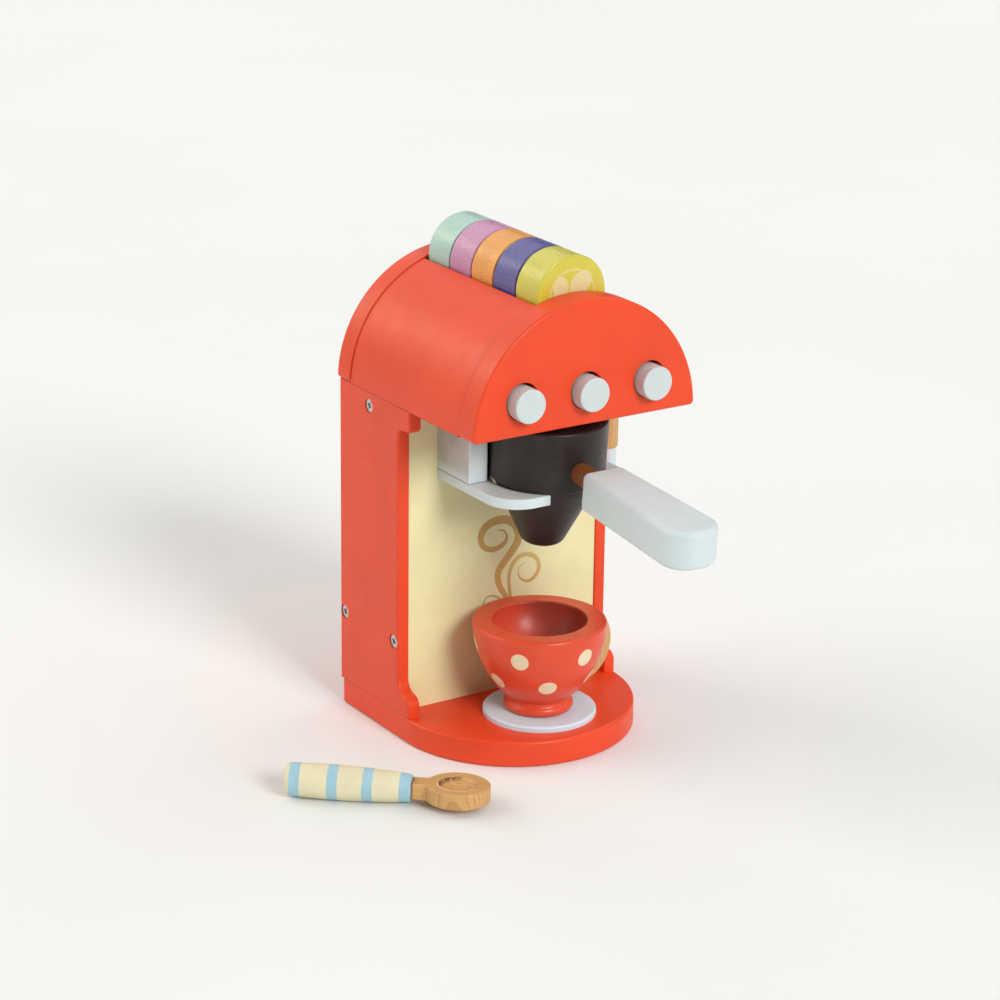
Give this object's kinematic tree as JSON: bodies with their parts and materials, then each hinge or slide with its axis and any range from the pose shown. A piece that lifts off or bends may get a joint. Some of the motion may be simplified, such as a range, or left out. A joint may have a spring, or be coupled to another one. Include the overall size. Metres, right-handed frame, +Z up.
{
  "type": "toy coffee maker",
  "caption": "Painted wooden toy coffee maker with an arched roof, a row of lift-out pods, push buttons, a handled filter cup in a yoke, a spotted cup on a saucer and a scoop spoon.",
  "frame": {"origin": "underside of the base board, at the centre of its round front", "axes": "+X to the machine's right as seen from the front, -Y to the front, +Z up"},
  "size_m": [0.2156, 0.2149, 0.2445],
  "materials": {
    "red_board": "satin orange-red paint over wood board",
    "cream_board": "satin cream paint with a tan scroll print",
    "bare_board": "bare wood, hidden inside",
    "screw_steel": "zinc plated",
    "button_paint": "satin pale blue paint over wood",
    "spring_steel": "bright wire",
    "mint_paint": "satin mint paint over turned wood",
    "pink_paint": "satin pink paint over turned wood",
    "orange_paint": "satin orange paint over turned wood",
    "indigo_paint": "satin indigo paint over turned wood",
    "lime_paint": "satin lime paint over turned wood",
    "pale_blue_paint": "satin pale blue paint over wood",
    "lilac_paint": "satin lilac-grey paint over turned wood",
    "dark_paint": "satin near-black brown paint over turned wood",
    "dowel_wood": "oiled orange-brown wood",
    "cup_paint": "satin red paint with cream dots over turned wood",
    "natural_wood": "clear lacquered wood",
    "tip_paint": "satin pale blue paint over turned wood",
    "barrel_paint": "satin cream paint with pale blue rings over turned wood",
    "spoon_wood": "clear lacquered wood with open grain"
  },
  "bodies": {
    "machine": {"base_board": "red_board", "left_side_panel": "red_board", "right_side_panel": "red_board", "splash_panel": "cream_board", "rear_panel": "red_board", "top_board": "bare_board", "side_screws": "screw_steel", "roof_front_panel": "red_board", "roof_back_panel": "red_board", "roof_skin": "red_board", "roof_floor": "red_board", "pod_cradle": "bare_board", "button_stop_board": "bare_board", "button_spring_left": "spring_steel", "button_spring_middle": "spring_steel", "button_spring_right": "spring_steel", "left_bracket_block": "pale_blue_paint", "right_bracket_block": "pale_blue_paint", "yoke_plate": "pale_blue_paint", "saucer_disc": "lilac_paint", "wand_body": "natural_wood", "wand_peg": "natural_wood", "wand_tip": "tip_paint"},
    "left_button": {"button_left": "button_paint"},
    "middle_button": {"button_middle": "button_paint"},
    "right_button": {"button_right": "button_paint"},
    "mint_pod": {"pod_mint": "mint_paint"},
    "pink_pod": {"pod_pink": "pink_paint"},
    "orange_pod": {"pod_orange": "orange_paint"},
    "indigo_pod": {"pod_indigo": "indigo_paint"},
    "lime_pod": {"pod_lime": "lime_paint"},
    "filter": {"filter_cup": "dark_paint", "handle_dowel": "dowel_wood", "handle_grip": "pale_blue_paint"},
    "cup": {"cup_body": "cup_paint", "cup_handle": "natural_wood"},
    "spoon": {"spoon_handle": "barrel_paint", "spoon_head": "spoon_wood"}
  },
  "joints": [
    {"name": "left_button_press", "type": "slide", "parent": "machine", "child": "left_button", "axis": [0, 1, 0], "range_m": [0, 0.005], "stiffness_N_per_m": 120, "deforming": ["button_spring_left"]},
    {"name": "middle_button_press", "type": "slide", "parent": "machine", "child": "middle_button", "axis": [0, 1, 0], "range_m": [0, 0.005], "stiffness_N_per_m": 120, "deforming": ["button_spring_middle"]},
    {"name": "right_button_press", "type": "slide", "parent": "machine", "child": "right_button", "axis": [0, 1, 0], "range_m": [0, 0.005], "stiffness_N_per_m": 120, "deforming": ["button_spring_right"]},
    {"name": "mint_pod_lift", "type": "slide", "parent": "machine", "child": "mint_pod", "axis": [0, 0, 1], "range_m": [0, 0.045]},
    {"name": "pink_pod_lift", "type": "slide", "parent": "machine", "child": "pink_pod", "axis": [0, 0, 1], "range_m": [0, 0.045]},
    {"name": "orange_pod_lift", "type": "slide", "parent": "machine", "child": "orange_pod", "axis": [0, 0, 1], "range_m": [0, 0.045]},
    {"name": "indigo_pod_lift", "type": "slide", "parent": "machine", "child": "indigo_pod", "axis": [0, 0, 1], "range_m": [0, 0.045]},
    {"name": "lime_pod_lift", "type": "slide", "parent": "machine", "child": "lime_pod", "axis": [0, 0, 1], "range_m": [0, 0.045]},
    {"name": "filter_swing", "type": "hinge", "parent": "machine", "child": "filter", "pos_m": [0, -0.02735, 0.13505], "axis": [0, -0.0767, 0.9971], "range_deg": [-45, 45]},
    {"name": "cup_lift", "type": "slide", "parent": "machine", "child": "cup", "axis": [0, 0, 1], "range_m": [0, 0.035]},
    {"name": "spoon_lift", "type": "slide", "parent": "machine", "child": "spoon", "axis": [0, 0, 1], "range_m": [0, 0.05]}
  ]
}
